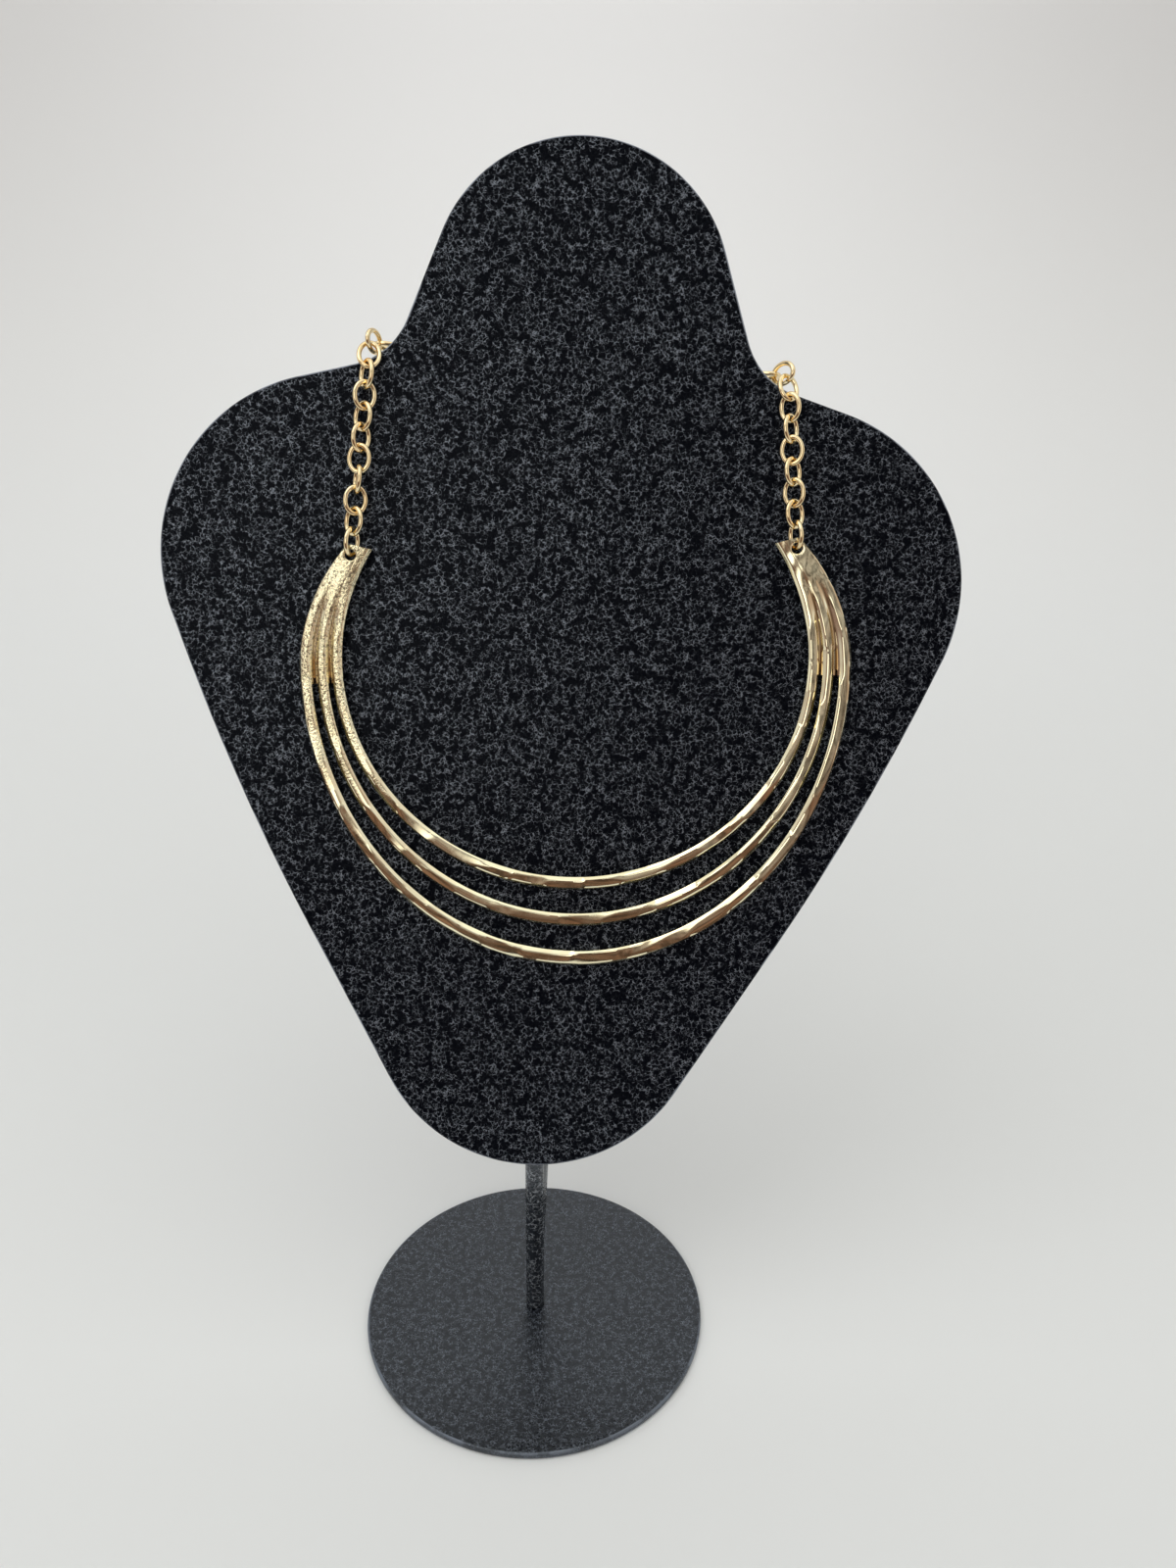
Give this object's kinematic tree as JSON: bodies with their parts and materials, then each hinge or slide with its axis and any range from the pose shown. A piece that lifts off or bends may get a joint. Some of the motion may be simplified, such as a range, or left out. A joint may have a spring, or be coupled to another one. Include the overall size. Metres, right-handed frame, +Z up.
{
  "type": "bib necklace on display stand",
  "caption": "Rigid collar of hammered bars on a cable chain, hung on a leaning bust-shaped plate with a post and a round base.",
  "frame": {"origin": "middle of the underside of the base disc", "axes": "+Z up; -Y towards the viewer, the way the plate faces; +X to the viewer's right"},
  "size_m": [0.2157, 0.1199, 0.3272],
  "materials": {
    "stand_black": "hammertone powder coat, glossy",
    "collar_gold": "pale gold-toned plate over hammered facets",
    "chain_gold": "polished gold-toned plate"
  },
  "bodies": {
    "root": {"link_01": "chain_gold", "link_02": "chain_gold", "link_03": "chain_gold", "link_04": "chain_gold", "link_05": "chain_gold", "link_06": "chain_gold", "link_07": "chain_gold", "link_08": "chain_gold", "link_09": "chain_gold", "link_10": "chain_gold", "link_11": "chain_gold", "link_12": "chain_gold", "link_13": "chain_gold", "link_14": "chain_gold", "link_15": "chain_gold", "link_16": "chain_gold", "link_17": "chain_gold", "link_18": "chain_gold", "link_19": "chain_gold", "link_20": "chain_gold", "link_21": "chain_gold", "link_22": "chain_gold", "link_23": "chain_gold", "link_24": "chain_gold", "link_25": "chain_gold", "link_26": "chain_gold", "link_27": "chain_gold", "link_28": "chain_gold", "link_29": "chain_gold", "link_30": "chain_gold", "link_31": "chain_gold", "link_32": "chain_gold", "link_33": "chain_gold", "link_34": "chain_gold", "link_35": "chain_gold", "link_36": "chain_gold", "link_37": "chain_gold", "link_38": "chain_gold", "clasp": "chain_gold", "collar": "collar_gold", "stand_plate": "stand_black", "stand_base": "stand_black", "stand_post": "stand_black"}
  },
  "joints": []
}
